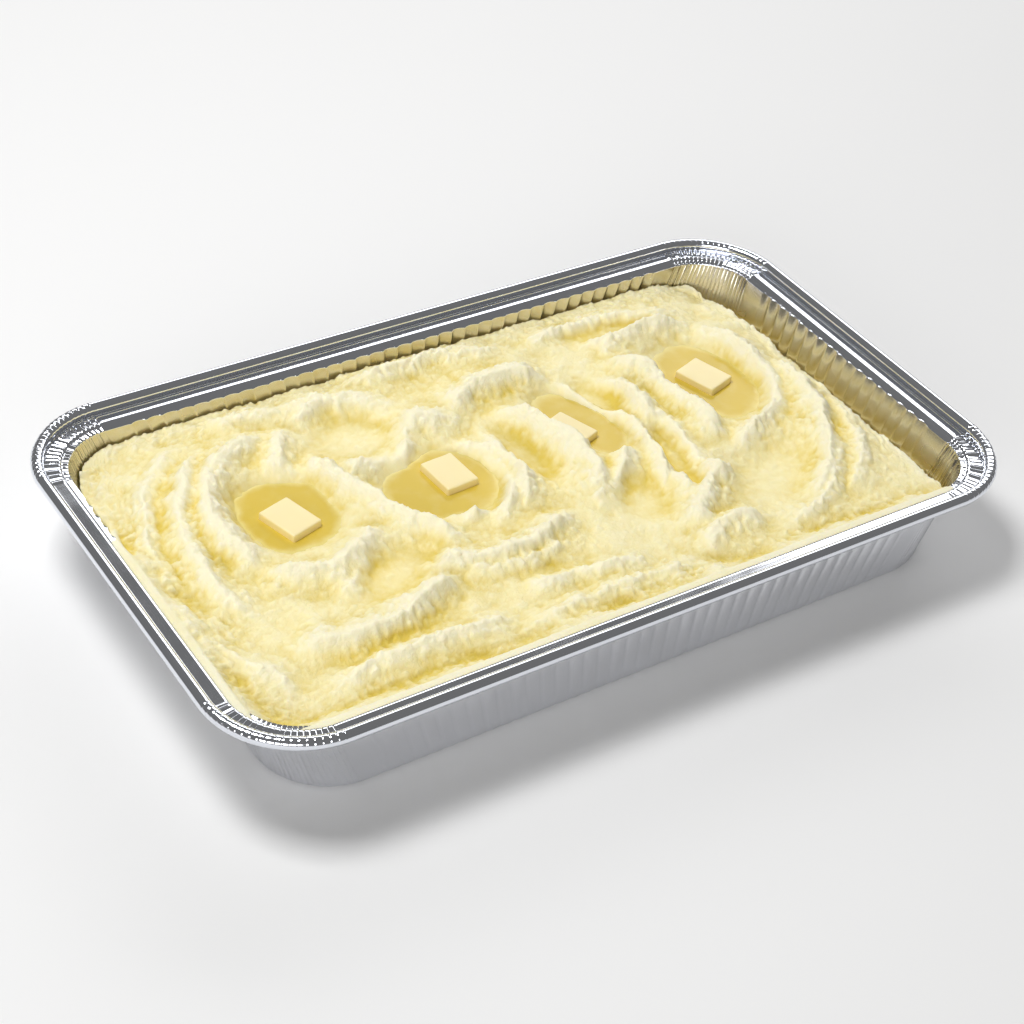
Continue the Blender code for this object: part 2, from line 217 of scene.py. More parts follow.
def place_piece(name: str, mesh: bpy.types.Mesh, materials: list[bpy.types.Material],
                nodes: tuple[str, ...]) -> bpy.types.Object:
    """Put a piece in the scene in place of its CAD nodes.

    Args:
        name: The piece's name.
        mesh: Its mesh, in the frame's metres.
        materials: The materials of its faces.
        nodes: The CAD nodes that it stands for.

    Returns:
        The object.
    """
    piece = bpy.data.objects.new(name, mesh)
    bpy.context.scene.collection.objects.link(piece)
    for material in materials:
        mesh.materials.append(material)
    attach(piece, BODY)
    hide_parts(*nodes)
    LOG.info("%s: %d points, %d faces", name, len(mesh.vertices), len(mesh.polygons))
    return piece


def store(mesh: bpy.types.Mesh, name: str, values: Array) -> None:
    """Keep one number for each point of a mesh, for its material to read."""
    mesh.attributes.new(name, "FLOAT", "POINT").data.foreach_set("value", values.astype(np.float32).ravel())


# ---- Finishes ----

class FoilSide(Enum):
    """How the foil's surface is: polished by the roller, matt from foil on foil, or polished
    and then filmed with butter by the hot mash."""

    BRIGHT = "bright"
    SATIN = "satin"
    BUTTERED = "buttered"


@dataclass(frozen=True)
class RolledFoil:
    """Aluminium foil, cold rolled and pressed: a mirror drawn out along the rolling direction.

    Attributes:
        side: Which side of the foil shows.
        colour: Its reflected colour; a blue tint in it is a painted reflection of blue-grey surroundings.
        roughness: The polish, from 0 for a mirror.
        unevenness: How far the polish varies.
        line_width: Width of a rolling line, metres. Real ones are near 0.05 mm, too fine to
            show, so they are drawn coarser.
        line_depth: Depth of a rolling line, metres.
    """

    side: FoilSide
    colour: str
    roughness: float
    unevenness: float
    line_width: float
    line_depth: float

    def make(self) -> bpy.types.Material:
        """Build the material.

        Returns:
            The foil material. The eye sees long soft streaks in a clear reflection on the
            bright side, and a grey sheen on the satin side.
        """
        material, tree, shader = new_material("foil_" + self.side.value)
        shader.inputs["Base Color"].default_value = linear(self.colour)
        shader.inputs["Metallic"].default_value = 1.0
        place = add_node(tree, "ShaderNodeTexCoord")
        drawn = add_node(tree, "ShaderNodeMapping", {"Scale": (0.06, 1.0, 0.5)},
                         {"Vector": place.outputs["Object"]})
        lines = add_node(tree, "ShaderNodeTexNoise",
                         {"Scale": 1.0 / self.line_width, "Detail": 2.0}, {"Vector": drawn.outputs[0]})
        cloud = add_node(tree, "ShaderNodeTexNoise", {"Scale": 1.0 / (25.0 * MM), "Detail": 2.0},
                         {"Vector": place.outputs["Object"]})
        polish = add_node(tree, "ShaderNodeMapRange",
                          {"From Min": 0.3, "From Max": 0.7,
                           "To Min": self.roughness - self.unevenness,
                           "To Max": self.roughness + self.unevenness},
                          {"Value": cloud.outputs["Fac"]})
        tree.links.new(polish.outputs[0], shader.inputs["Roughness"])
        relief = add_node(tree, "ShaderNodeBump", {"Strength": 1.0, "Distance": self.line_depth},
                          {"Height": lines.outputs["Fac"]})
        tree.links.new(relief.outputs[0], shader.inputs["Normal"])
        return material


@dataclass(frozen=True)
class CreamedPotato:
    """Potato mashed with butter and milk and worked with a spoon: moist, pale and grainy.

    Attributes:
        crest: Colour of the whipped crests: a lighter cream, painted light standing in for light that goes
            through the thin edge.
        body: Colour of the open surface.
        crevice_shade: Colour of the folds: painted shade, a deeper yellow standing in for the shade there and
            for light that has passed through the mash.
        grain: Size of a potato grain, metres.
        grain_depth: How far a grain stands out, metres.
    """

    crest: str
    body: str
    crevice_shade: str
    grain: float
    grain_depth: float

    def make(self) -> bpy.types.Material:
        """Build the material.

        Returns:
            The mash: cream on the crests and butter yellow in the folds, painted light and shade, with a soft
                uneven sheen.
        """
        material, tree, shader = new_material("creamed_potato")
        place = add_node(tree, "ShaderNodeTexCoord")
        fold_shade = add_node(tree, "ShaderNodeAttribute", {"attribute_name": "fold_shade"})
        grainy = add_node(tree, "ShaderNodeAttribute", {"attribute_name": "grainy"})
        mottle = add_node(tree, "ShaderNodeTexNoise", {"Scale": 1.0 / (7.0 * MM), "Detail": 3.0},
                          {"Vector": place.outputs["Object"]})
        shifted = add_node(tree, "ShaderNodeMath", {"operation": "MULTIPLY_ADD", 1: 0.22, 2: -0.11},
                           {0: mottle.outputs["Fac"]})
        depth = add_node(tree, "ShaderNodeMath", {"operation": "ADD", "use_clamp": True},
                         {0: fold_shade.outputs["Fac"], 1: shifted.outputs[0]})
        # Painted light and shade: the ramp runs from a lighter cream on crests to a deeper yellow in folds,
        # by how far a point lies below the mash round it.
        ramp = add_node(tree, "ShaderNodeValToRGB", links={"Fac": depth.outputs[0]})
        ramp.color_ramp.elements[0].color = linear(self.crest)
        ramp.color_ramp.elements[0].position = 0.12
        ramp.color_ramp.elements[1].color = linear(self.crevice_shade)
        ramp.color_ramp.elements[1].position = 0.96
        middle = ramp.color_ramp.elements.new(0.5)
        middle.color = linear(self.body)
        tree.links.new(ramp.outputs["Color"], shader.inputs["Base Color"])
        sheen = add_node(tree, "ShaderNodeMapRange",
                         {"From Min": 0.3, "From Max": 0.7, "To Min": 0.42, "To Max": 0.62},
                         {"Value": mottle.outputs["Fac"]})
        tree.links.new(sheen.outputs[0], shader.inputs["Roughness"])
        grains = add_node(tree, "ShaderNodeTexNoise",
                          {"Scale": 1.0 / self.grain, "Detail": 2.0, "Roughness": 0.6},
                          {"Vector": place.outputs["Object"]})
        strength = add_node(tree, "ShaderNodeMath", {"operation": "MULTIPLY", 1: 0.9},
                            {0: grainy.outputs["Fac"]})
        relief = add_node(tree, "ShaderNodeBump", {"Distance": self.grain_depth},
                          {"Height": grains.outputs["Fac"], "Strength": strength.outputs[0]})
        tree.links.new(relief.outputs[0], shader.inputs["Normal"])
        shader.inputs["Specular IOR Level"].default_value = 0.35
        shader.inputs["Subsurface Weight"].default_value = 0.2
        shader.inputs["Subsurface Scale"].default_value = 3.0 * MM
        shader.inputs["Subsurface Radius"].default_value = (1.0, 0.8, 0.35)
        return material


@dataclass(frozen=True)
class SoftButter:
    """Churned butter, cut from a stick and just softening: waxy, with a faint wet skin.

    Attributes:
        colour: Colour of the cut face.
        melting: Colour low on the sides, where the butter turns clear.
        roughness: The wax's sheen.
    """

    colour: str
    melting: str
    roughness: float

    def make(self) -> bpy.types.Material:
        """Build the material.

        Returns:
            The butter: pale cream on top, yellower towards its foot.
        """
        material, tree, shader = new_material("soft_butter")
        foot = add_node(tree, "ShaderNodeAttribute", {"attribute_name": "foot"})
        place = add_node(tree, "ShaderNodeTexCoord")
        smear = add_node(tree, "ShaderNodeTexNoise", {"Scale": 1.0 / (9.0 * MM), "Detail": 2.0},
                         {"Vector": place.outputs["Object"]})
        ramp = add_node(tree, "ShaderNodeValToRGB", links={"Fac": foot.outputs["Fac"]})
        ramp.color_ramp.elements[0].color = linear(self.colour)
        ramp.color_ramp.elements[1].color = linear(self.melting)
        tree.links.new(ramp.outputs["Color"], shader.inputs["Base Color"])
        sheen = add_node(tree, "ShaderNodeMapRange",
                         {"From Min": 0.3, "From Max": 0.7,
                          "To Min": self.roughness - 0.06, "To Max": self.roughness + 0.08},
                         {"Value": smear.outputs["Fac"]})
        tree.links.new(sheen.outputs[0], shader.inputs["Roughness"])
        relief = add_node(tree, "ShaderNodeBump", {"Strength": 0.25, "Distance": 0.1 * MM},
                          {"Height": smear.outputs["Fac"]})
        tree.links.new(relief.outputs[0], shader.inputs["Normal"])
        shader.inputs["Subsurface Weight"].default_value = 0.2
        shader.inputs["Subsurface Scale"].default_value = 2.0 * MM
        shader.inputs["Subsurface Radius"].default_value = (1.0, 0.8, 0.4)
        return material


@dataclass(frozen=True)
class MeltedButter:
    """Clarified butter lying on mash: a clear golden oil, paler where it is thin.

    Attributes:
        thin: Colour at the shore, where the mash shows through.
        deep: Colour over the deepest part.
        roughness: Gloss of the oil.
    """

    thin: str
    deep: str
    roughness: float

    def make(self) -> bpy.types.Material:
        """Build the material.

        Returns:
            The melted butter, with a wet gloss that a few cloudy curds soften.
        """
        material, tree, shader = new_material("melted_butter")
        depth = add_node(tree, "ShaderNodeAttribute", {"attribute_name": "depth"})
        place = add_node(tree, "ShaderNodeTexCoord")
        curds = add_node(tree, "ShaderNodeTexNoise", {"Scale": 1.0 / (11.0 * MM), "Detail": 3.0},
                         {"Vector": place.outputs["Object"]})
        shifted = add_node(tree, "ShaderNodeMath", {"operation": "MULTIPLY_ADD", 1: 0.7, 2: -0.35},
                           {0: curds.outputs["Fac"]})
        seen = add_node(tree, "ShaderNodeMath", {"operation": "ADD", "use_clamp": True},
                        {0: depth.outputs["Fac"], 1: shifted.outputs[0]})
        ramp = add_node(tree, "ShaderNodeValToRGB", links={"Fac": seen.outputs[0]})
        ramp.color_ramp.elements[0].color = linear(self.thin)
        ramp.color_ramp.elements[1].color = linear(self.deep)
        tree.links.new(ramp.outputs["Color"], shader.inputs["Base Color"])
        gloss = add_node(tree, "ShaderNodeMapRange",
                         {"From Min": 0.35, "From Max": 0.7, "To Min": self.roughness,
                          "To Max": self.roughness + 0.14}, {"Value": curds.outputs["Fac"]})
        tree.links.new(gloss.outputs[0], shader.inputs["Roughness"])
        shader.inputs["Specular IOR Level"].default_value = 0.3
        shader.inputs["IOR"].default_value = 1.46
        return material


@dataclass(frozen=True)
class PaintedFloor:
    """A studio floor painted matt white.

    Attributes:
        colour: The paint's colour.
    """

    colour: str

    def make(self) -> bpy.types.Material:
        """Build the material, with a trace of roller texture in its sheen."""
        material, tree, shader = new_material("white_floor")
        shader.inputs["Base Color"].default_value = linear(self.colour)
        roller = add_node(tree, "ShaderNodeTexNoise", {"Scale": 40.0, "Detail": 2.0})
        sheen = add_node(tree, "ShaderNodeMapRange", {"To Min": 0.75, "To Max": 0.9},
                         {"Value": roller.outputs["Fac"]})
        tree.links.new(sheen.outputs[0], shader.inputs["Roughness"])
        return material


# ---- Foil tray ----

@dataclass
class FoilTray:
    """The pressed foil tray. Sizes are in metres; its outside is the CAD tray's.

    A section of the foil, from the middle of the floor up the wall, over the ledge, flange and
    curl and back down the outside, is carried round a rounded rectangle.
    """

    length: float = 527.0 * MM
    width: float = 314.0 * MM
    corner: float = 58.0 * MM
    flange_height: float = 59.4 * MM
    curl_radius: float = 3.8 * MM
    curl_rise: float = 3.0 * MM
    flange_inner: float = 16.7 * MM
    ledge_inner: float = 21.4 * MM
    ledge_drop: float = 1.6 * MM
    base_inset_x: float = 38.0 * MM
    base_inset_y: float = 23.5 * MM
    base_corner: float = 43.0 * MM
    foil: float = 0.2 * MM
    flute_pitch: float = 10.0 * MM
    flute_depth: float = 1.6 * MM
    plain_run: float = 15.0 * MM
    flute_strengths: Point = (0.72, 1.12)
    pleat_strengths: Point = (0.45, 1.25)
    pleat_leans: Point = (0.3, 0.7)
    wall_pleat: float = 0.8 * MM
    fillet_rise: float = 0.28 * MM
    flat_share: float = 0.62
    pleats_in_corner: int = 22
    columns_in_flute: int = 8
    columns_in_pleat: int = 8
    bright: bpy.types.Material | None = None
    satin: bpy.types.Material | None = None
    buttered: bpy.types.Material | None = None

    def build(self) -> bpy.types.Object:
        """Build the tray's mesh and put it in place of the CAD tray.

        Returns:
            The tray piece.
        """
        self._lay_out_columns()
        rings = self._rings()
        points, quads, slots = self._skin(rings)
        count = self.column_count
        floor_centre = len(points)
        points = np.vstack([points, [(0.0, 0.0, self.foil), (0.0, 0.0, 0.0)]])
        turn = np.arange(count)
        after = (turn + 1) % count
        last = (len(rings) - 1) * count
        inner_fan = np.stack([np.full(count, floor_centre), turn, after], axis=1)
        outer_fan = np.stack([np.full(count, floor_centre + 1), last + after, last + turn], axis=1)
        mesh = mesh_from_arrays("tray_foil", points, quads, np.vstack([inner_fan, outer_fan]))
        slots = np.concatenate([slots, np.full(count, 2), np.ones(count, dtype=int)])
        mesh.polygons.foreach_set("material_index", slots.astype(np.int32))
        return place_piece("tray_foil", mesh, [self.bright, self.satin, self.buttered], ("foil_tray",))

    def _lay_out_columns(self) -> None:
        """Work out the places round the tray and the flutes and pleats at each."""
        run_long = self.length - 2.0 * self.corner
        run_short = self.width - 2.0 * self.corner
        side_x, side_y, arc, share, along, fluted = [], [], [], [], [], []
        for quarter, (run, signs) in enumerate(
                ((run_short, (1, 0)), (run_long, (0, 1)), (run_short, (-1, 0)), (run_long, (0, -1)))):
            flutes = round((run - 2.0 * self.plain_run) / self.flute_pitch)
            steps = round(run / self.flute_pitch) * self.columns_in_flute
            position = np.linspace(-1.0, 1.0, steps + 1)
            half = (run / 2.0 - self.plain_run) / (run / 2.0)
            count = (position / half + 1.0) / 2.0 * flutes
            inside = (np.abs(position) < half)
            side_x += [signs[0]] * len(position)
            side_y += [signs[1]] * len(position)
            arc += [-1.0] * len(position)
            share += list(position)
            along += list(np.where(inside, count, 0.0) + 100.0 * quarter)
            fluted += list(inside.astype(float))
            corner_steps = self.pleats_in_corner * self.columns_in_pleat
            angles = np.linspace(0.0, 1.0, corner_steps + 1)[1:-1]
            side_x += [quarter] * len(angles)
            side_y += [quarter] * len(angles)
            arc += list(angles)
            share += [0.0] * len(angles)
            along += [0.0] * len(angles)
            fluted += [0.0] * len(angles)
        self.side_x = np.array(side_x)
        self.side_y = np.array(side_y)
        self.arc = np.array(arc)
        self.share = np.array(share)
        self.along = np.array(along)
        self.fluted = np.array(fluted)
        self.column_count = len(self.arc)
        self._shape_flutes()
        self._shape_pleats()

    def _shape_flutes(self) -> None:
        """Give each column its share of a flute: round channels pushed outward between ribs."""
        random = np.random.default_rng(5)
        strength = random.uniform(*self.flute_strengths, 700)
        number = np.floor(self.along).astype(int)
        part = self.along - number
        bow = np.abs(np.sin(math.pi * part)) ** 0.75
        ramp = smooth_step((1.0 - np.abs(self.share)) * 40.0)
        self.flute = self.fluted * (bow * strength[number % 700] - 0.35) * ramp

    def _shape_pleats(self) -> None:
        """Give each column its share of a pleat: sharp folds of uneven height in the corners."""
        random = np.random.default_rng(23)
        in_corner = self.arc >= 0.0
        phase = self.arc * self.pleats_in_corner
        number = np.floor(phase).astype(int)
        part = phase - number
        table = random.uniform(*self.pleat_strengths, (4, self.pleats_in_corner + 2))
        lean = random.uniform(*self.pleat_leans, (4, self.pleats_in_corner + 2))
        quarter = np.where(in_corner, self.side_x, 0).astype(int)
        height = table[quarter, np.clip(number, 0, self.pleats_in_corner)]
        peak = lean[quarter, np.clip(number, 0, self.pleats_in_corner)]
        plank = 0.4 + (part - 0.5) * (peak - 0.5) * 4.0
        groove = smooth_step((0.13 - np.minimum(part, 1.0 - part)) / 0.13)
        fade = smooth_step(np.minimum(self.arc, 1.0 - self.arc) * 18.0)
        self.pleat = np.where(in_corner, (plank - 1.5 * groove) * height * fade, 0.0)
        self.quarter = quarter

    def _outline(self, half_x: float, half_y: float, corner: float, push: Array) -> tuple[Array, Array]:
        """Points of a rounded rectangle at every column.

        Args:
            half_x: Half its length.
            half_y: Half its width.
            corner: Its corner radius.
            push: How far each column is moved outward.

        Returns:
            The x and y of each column.
        """
        run_x = half_x - corner
        run_y = half_y - corner
        on_side = self.arc < 0.0
        angle = (self.quarter + self.arc) * math.pi / 2.0
        sign_x = np.where((self.quarter == 0) | (self.quarter == 3), 1.0, -1.0)
        sign_y = np.where(self.quarter < 2, 1.0, -1.0)
        reach = corner + push
        corner_x = sign_x * run_x + reach * np.cos(angle)
        corner_y = sign_y * run_y + reach * np.sin(angle)
        flat_x = np.where(self.side_x != 0, self.side_x * (half_x + push), -self.side_y * self.share * run_x)
        flat_y = np.where(self.side_x != 0, self.side_x * self.share * run_y, self.side_y * (half_y + push))
        return np.where(on_side, flat_x, corner_x), np.where(on_side, flat_y, corner_y)

    def _wall_size(self, height: float) -> tuple[float, float, float]:
        """Half length, half width and corner radius of the inside of the wall at a height."""
        share = min(max(height / (self.flange_height - self.ledge_drop), 0.0), 1.0)
        half_x = self.length / 2.0 - self.base_inset_x + share * (self.base_inset_x - self.ledge_inner)
        half_y = self.width / 2.0 - self.base_inset_y + share * (self.base_inset_y - self.ledge_inner)
        corner = self.base_corner + share * (self.corner - self.ledge_inner - self.base_corner)
        return half_x, half_y, corner

    def _wall_ring(self, height: float, outward: float, pull: float, depth: float) -> Array:
        """One ring of the wall.

        Args:
            height: Its height.
            outward: The foil's thickness, or 0 for the inside.
            pull: How far the base's rounding draws it in.
            depth: Share of the full depth of flutes and pleats.

        Returns:
            The ring's points.
        """
        half_x, half_y, corner = self._wall_size(height)
        grow = outward - pull
        push = depth * (self.flute * self.flute_depth + self.pleat * self.wall_pleat)
        x, y = self._outline(half_x + grow, half_y + grow, corner + grow, push)
        return np.stack([x, y, np.full_like(x, height)], axis=1)

    def _rim_ring(self, inset: float, height: float, flute: float, pleat: float,
                  wobble: int = 0) -> Array:
        """One ring of the rim.

        Args:
            inset: How far it lies inside the tray's outer edge.
            height: Its height.
            flute: Share of the flutes' depth.
            pleat: Height of the pleats, metres.
            wobble: Which random change the pleats take here.

        Returns:
            The ring's points.
        """
        random = np.random.default_rng(100 + wobble)
        change = random.normal(0.0, 0.015, (4, self.pleats_in_corner + 1))
        number = np.clip(np.floor(self.arc * self.pleats_in_corner).astype(int), 0, self.pleats_in_corner)
        local = self.pleat * (1.0 + change[self.quarter, number])
        push = flute * self.flute * self.flute_depth + local * pleat * 0.5
        x, y = self._outline(self.length / 2.0 - inset, self.width / 2.0 - inset, self.corner - inset, push)
        lift = np.clip(local * pleat, -pleat * 1.3, pleat * 1.3)
        limit = self.flange_height + self.curl_rise + self.curl_radius
        z = np.minimum(height + lift, limit)
        return np.stack([x, y, z], axis=1)

    def _rings(self) -> list[Array]:
        """All rings, from the inside of the floor to the underside of the base.

        Returns:
            One array of points for each ring.
        """
        top = self.flange_height - self.ledge_drop
        rings = [
            self._wall_ring(self.foil, 0.0, 2.6 * MM, 0.0),
            self._wall_ring(self.foil + 0.9 * MM, 0.0, 0.9 * MM, 0.2),
            self._wall_ring(self.foil + 2.6 * MM, 0.0, 0.0, 0.4),
        ]
        for step in range(1, 6):
            rings.append(self._wall_ring(2.6 * MM + (top - 4.2 * MM) * step / 5.0, 0.0, 0.0,
                                         0.4 + 0.6 * step / 5.0))
        rings += self._ledge_rings(0.0)
        rings += self._flange_rings(0.0, 9)
        rings += self._curl_rings()
        rings += self._flange_rings(-self.foil, 3)[::-1]
        rings += self._ledge_rings(-self.foil)[::-1]
        for step in range(5, 0, -1):
            rings.append(self._wall_ring(2.6 * MM + (top - 4.2 * MM) * step / 5.0, self.foil, 0.0,
                                         0.4 + 0.6 * step / 5.0))
        rings += [
            self._wall_ring(2.6 * MM, self.foil, 0.0, 0.4),
            self._wall_ring(0.9 * MM, self.foil, 0.8 * MM, 0.2),
            self._wall_ring(0.0, self.foil, 2.6 * MM, 0.0),
        ]
        return rings

    def _ledge_rings(self, offset: float) -> list[Array]:
        """Rings from the top of the wall over the ledge to the foot of the flange.

        Args:
            offset: The foil's thickness for the underside, negative, or 0.

        Returns:
            The rings.
        """
        top = self.flange_height - self.ledge_drop
        step = self.ledge_inner - self.flange_inner
        rings = [self._rim_ring(self.ledge_inner + offset, top - 0.8 * MM + offset, 1.0, 0.45 * MM, 1),
                 self._rim_ring(self.ledge_inner - 0.12 * MM + offset, top - 0.25 * MM + offset,
                                1.0, 0.5 * MM, 1),
                 self._rim_ring(self.ledge_inner - 0.45 * MM, top + offset, 1.0, 0.6 * MM, 1),
                 self._rim_ring(self.flange_inner + 0.35 * step, top + offset, 0.0, 0.7 * MM, 2),
                 self._rim_ring(self.flange_inner + 0.16 * step, top + 0.3 * self.ledge_drop + offset,
                                0.0, 0.7 * MM, 2),
                 self._rim_ring(self.flange_inner + 0.06 * step, top + 0.75 * self.ledge_drop + offset,
                                0.0, 0.7 * MM, 2)]
        return rings

    def _flange_rings(self, offset: float, steps: int) -> list[Array]:
        """Rings across the flange, which is flat and then bends up towards the curl.

        Args:
            offset: The foil's thickness for the underside, negative, or 0.
            steps: How many rings.

        Returns:
            The rings.
        """
        foot = self.curl_radius + math.sqrt(self.curl_radius ** 2 - self.curl_rise ** 2)
        rings = []
        for step in range(steps):
            share = step / (steps - 1)
            inset = self.flange_inner + share * (foot - self.flange_inner)
            fillet = self.fillet_rise * (max(share - self.flat_share, 0.0) / (1.0 - self.flat_share)) ** 2
            height = self.flange_height + fillet + offset
            rings.append(self._rim_ring(inset, height, 0.0, 0.75 * MM, 3 + int(share * 4.0)))
        return rings

    def _curl_rings(self) -> list[Array]:
        """Rings round the curl, from the flange up, over and under.

        Returns:
            The rings.
        """
        start = 180.0 + math.degrees(math.asin(self.curl_rise / self.curl_radius))
        end = -128.0
        rings = []
        steps = 14
        for step in range(1, steps + 1):
            angle = math.radians(start + (end - start) * step / (steps + 1))
            inset = self.curl_radius - self.curl_radius * math.cos(angle)
            height = self.flange_height + self.curl_rise + self.curl_radius * math.sin(angle)
            rings.append(self._rim_ring(inset + 0.35 * MM, height - 0.1 * MM, 0.0, 0.35 * MM, 8))
        return rings

    def _skin(self, rings: list[Array]) -> tuple[Array, Array, Array]:
        """Join the rings by bands of quads.

        Args:
            rings: The rings in order.

        Returns:
            The points, the quads, and the material number of each quad: bright on the ledge,
            flange and curl, satin outside and buttered inside the walls.
        """
        count = self.column_count
        turn = np.arange(count)
        after = (turn + 1) % count
        quads = []
        slots = []
        top = self.flange_height - self.ledge_drop - 1.5 * MM
        for number in range(len(rings) - 1):
            low = number * count
            high = low + count
            quads.append(np.stack([low + turn, high + turn, high + after, low + after], axis=1))
            on_wall = rings[number + 1][:, 2].mean() < top or rings[number][:, 2].mean() < top
            side = 1 if number > len(rings) // 2 else 2
            slots.append(np.full(count, side if on_wall else 0))
        return np.vstack(rings), np.vstack(quads), np.concatenate(slots)


# ---- Mashed potato ----

@dataclass(frozen=True)
class Ridge:
    """A crest that the spoon pushed up, on the arc through three points. Millimetres.

    Attributes:
        start: Where the crest begins.
        via: A point about half way.
        end: Where it runs out.
        rise: Its height above the mash round it.
        inner: Width of the slope on the side of the arc's centre.
        outer: Width of the other slope.
    """

    start: Point
    via: Point
    end: Point
    rise: float
    inner: float
    outer: float

    def circle(self) -> tuple[float, float, float]:
        """Centre and radius of the arc's circle."""
        (ax, ay), (bx, by), (cx, cy) = self.start, self.via, self.end
        scale = 2.0 * (ax * (by - cy) + bx * (cy - ay) + cx * (ay - by))
        a, b, c = ax * ax + ay * ay, bx * bx + by * by, cx * cx + cy * cy
        x = (a * (by - cy) + b * (cy - ay) + c * (ay - by)) / scale
        y = (a * (cx - bx) + b * (ax - cx) + c * (bx - ax)) / scale
        return x, y, math.hypot(ax - x, ay - y)

    def measure(self, x: Array, y: Array) -> tuple[Array, Array]:
        """Where points lie by this crest.

        Args:
            x: The points' x.
            y: The points' y.

        Returns:
            How far along the arc, 0 to 1 between its ends, and how far outside it.
        """
        centre_x, centre_y, radius = self.circle()
        first, middle, last = (math.atan2(p[1] - centre_y, p[0] - centre_x)
                               for p in (self.start, self.via, self.end))
        turn = 2.0 * math.pi
        forward = (middle - first) % turn < (last - first) % turn
        sweep = (last - first) % turn if forward else -((first - last) % turn)
        middle_angle = first + sweep / 2.0
        angle = np.arctan2(y - centre_y, x - centre_x)
        offset = np.mod(angle - middle_angle + math.pi, turn) - math.pi
        return 0.5 + offset / sweep, np.hypot(x - centre_x, y - centre_y) - radius


@dataclass(frozen=True)
class Hollow:
    """A dip that the back of the spoon left, level with the mash at its edge. Millimetres.

    Attributes:
        centre: The deepest point.
        radii: Half its length along x and along y before it is turned.
        turn: Degrees it is turned.
        floor: Height of its bottom.
        steep: How quickly it drops, from 1 for a soft bowl.
    """

    centre: Point
    radii: Point
    turn: float
    floor: float
    steep: float = 1.0

    def share(self, x: Array, y: Array) -> Array:
        """How far each point belongs to the hollow, 0 outside and 1 on its floor."""
        angle = math.radians(self.turn)
        dx = x - self.centre[0]
        dy = y - self.centre[1]
        along = dx * math.cos(angle) + dy * math.sin(angle)
        across = dy * math.cos(angle) - dx * math.sin(angle)
        distance = np.hypot(along / self.radii[0], across / self.radii[1])
        return smooth_step((1.0 - distance) * 1.6 * self.steep)


RIDGES = (
    # round the left well
    Ridge((-110, 98), (-185, 42), (-170, -16), 7.0, 8, 8),
    Ridge((-181, -4), (-150, -25), (-112, -4), 5.5, 7, 7),
    Ridge((-100, 108), (-130, 62), (-119, -2), 5.0, 5, 9),
    Ridge((-152, -52), (-128, -30), (-106, 6), 4.5, 6, 8),
    Ridge((-150, 112), (-207, 28), (-196, -52), 6.0, 8, 7),
    Ridge((-160, 121), (-218, 60), (-224, -24), 4.0, 6, 6),
    Ridge((-202, -70), (-158, -83), (-82, -54), 7.0, 13, 5),
    Ridge((-228, 0), (-226, -62), (-196, -106), 3.0, 8, 8),
    # round the second well
    Ridge((-106, 82), (-95, 20), (-60, -47), 6.5, 6, 8),
    Ridge((-100, 33), (-56, 70), (0, 54), 6.5, 8, 9),
    Ridge((-72, 13), (-62, 36), (-42, 60), 6.0, 5, 5),
    Ridge((-30, 50), (-13, 14), (-46, -34), 5.5, 6, 7),
    Ridge((2, 52), (-1, 6), (-24, -38), 5.5, 6, 6),
    Ridge((-67, -13), (-57, -13), (-48, -28), 5.0, 5, 6),
    Ridge((-102, -36), (-44, -60), (6, -34), 6.5, 9, 5),
    Ridge((-86, -58), (-48, -70), (-8, -58), 4.0, 6, 5),
    Ridge((-104, 100), (-62, 106), (-44, 74), 4.5, 5, 10),
    # either side of the third well
    Ridge((14, 66), (38, 22), (20, -50), 7.5, 9, 6),
    Ridge((-14, 62), (26, 85), (66, 72), 6.5, 6, 10),
    Ridge((64, 76), (72, 10), (24, -47), 6.5, 6, 6),
    Ridge((72, 46), (83, 0), (56, -60), 5.5, 5, 5),
    Ridge((92, 68), (98, 0), (62, -76), 6.5, 6, 8),
    # round the right well
    Ridge((102, 82), (131, 24), (117, -34), 7.5, 9, 6),
    Ridge((106, 76), (136, 93), (178, 84), 5.5, 7, 9),
    Ridge((180, 88), (185, 4), (118, -36), 6.5, 7, 6),
    Ridge((207, 42), (199, -28), (128, -104), 6.5, 9, 5),
    Ridge((196, -50), (166, -88), (104, -112), 3.5, 5, 5),
    Ridge((216, -16), (202, -66), (160, -106), 3.5, 6, 6),
    Ridge((118, -46), (88, -62), (60, -98), 6.5, 7, 9),
    Ridge((52, -113), (66, -98), (104, -107), 5.0, 7, 7),
    # along the front and the back
    Ridge((-64, -92), (-28, -92), (24, -106), 4.5, 6, 6),
    Ridge((-206, -112), (-140, -104), (-66, -109), 4.5, 7, 7),
    Ridge((-84, -120), (0, -113), (64, -124), 4.0, 7, 7),
    Ridge((98, 92), (136, 99), (186, 78), 4.0, 6, 7),
    Ridge((-62, 118), (0, 124), (62, 112), 4.5, 8, 8),
    Ridge((-160, 124), (-96, 116), (-30, 104), 3.5, 7, 7),
    Ridge((62, 114), (120, 112), (194, 96), 4.0, 7, 7),
)

WELLS = (
    Hollow((-141, 33), (38, 43), -8, 42.7, 1.6),
    Hollow((-48, 16), (48, 41), 4, 42.7, 1.6),
    Hollow((61, 30), (25, 51), 14, 42.7, 1.5),
    Hollow((160, 32), (38, 57), 4, 42.7, 1.5),
)

HOLLOWS = (
    Hollow((-72, 79), (40, 34), 20, 42.5, 1.2),
    Hollow((12, 20), (17, 44), 4, 42.5),
    Hollow((-112, -40), (44, 24), 24, 43.0),
    Hollow((85, 48), (13, 32), 14, 42.0),
    Hollow((140, -66), (50, 32), 30, 43.0),
    Hollow((92, -24), (12, 46), -12, 43.0),
    Hollow((128, 104), (50, 12), -4, 45.0),
    Hollow((52, -50), (22, 30), -34, 43.5),
)


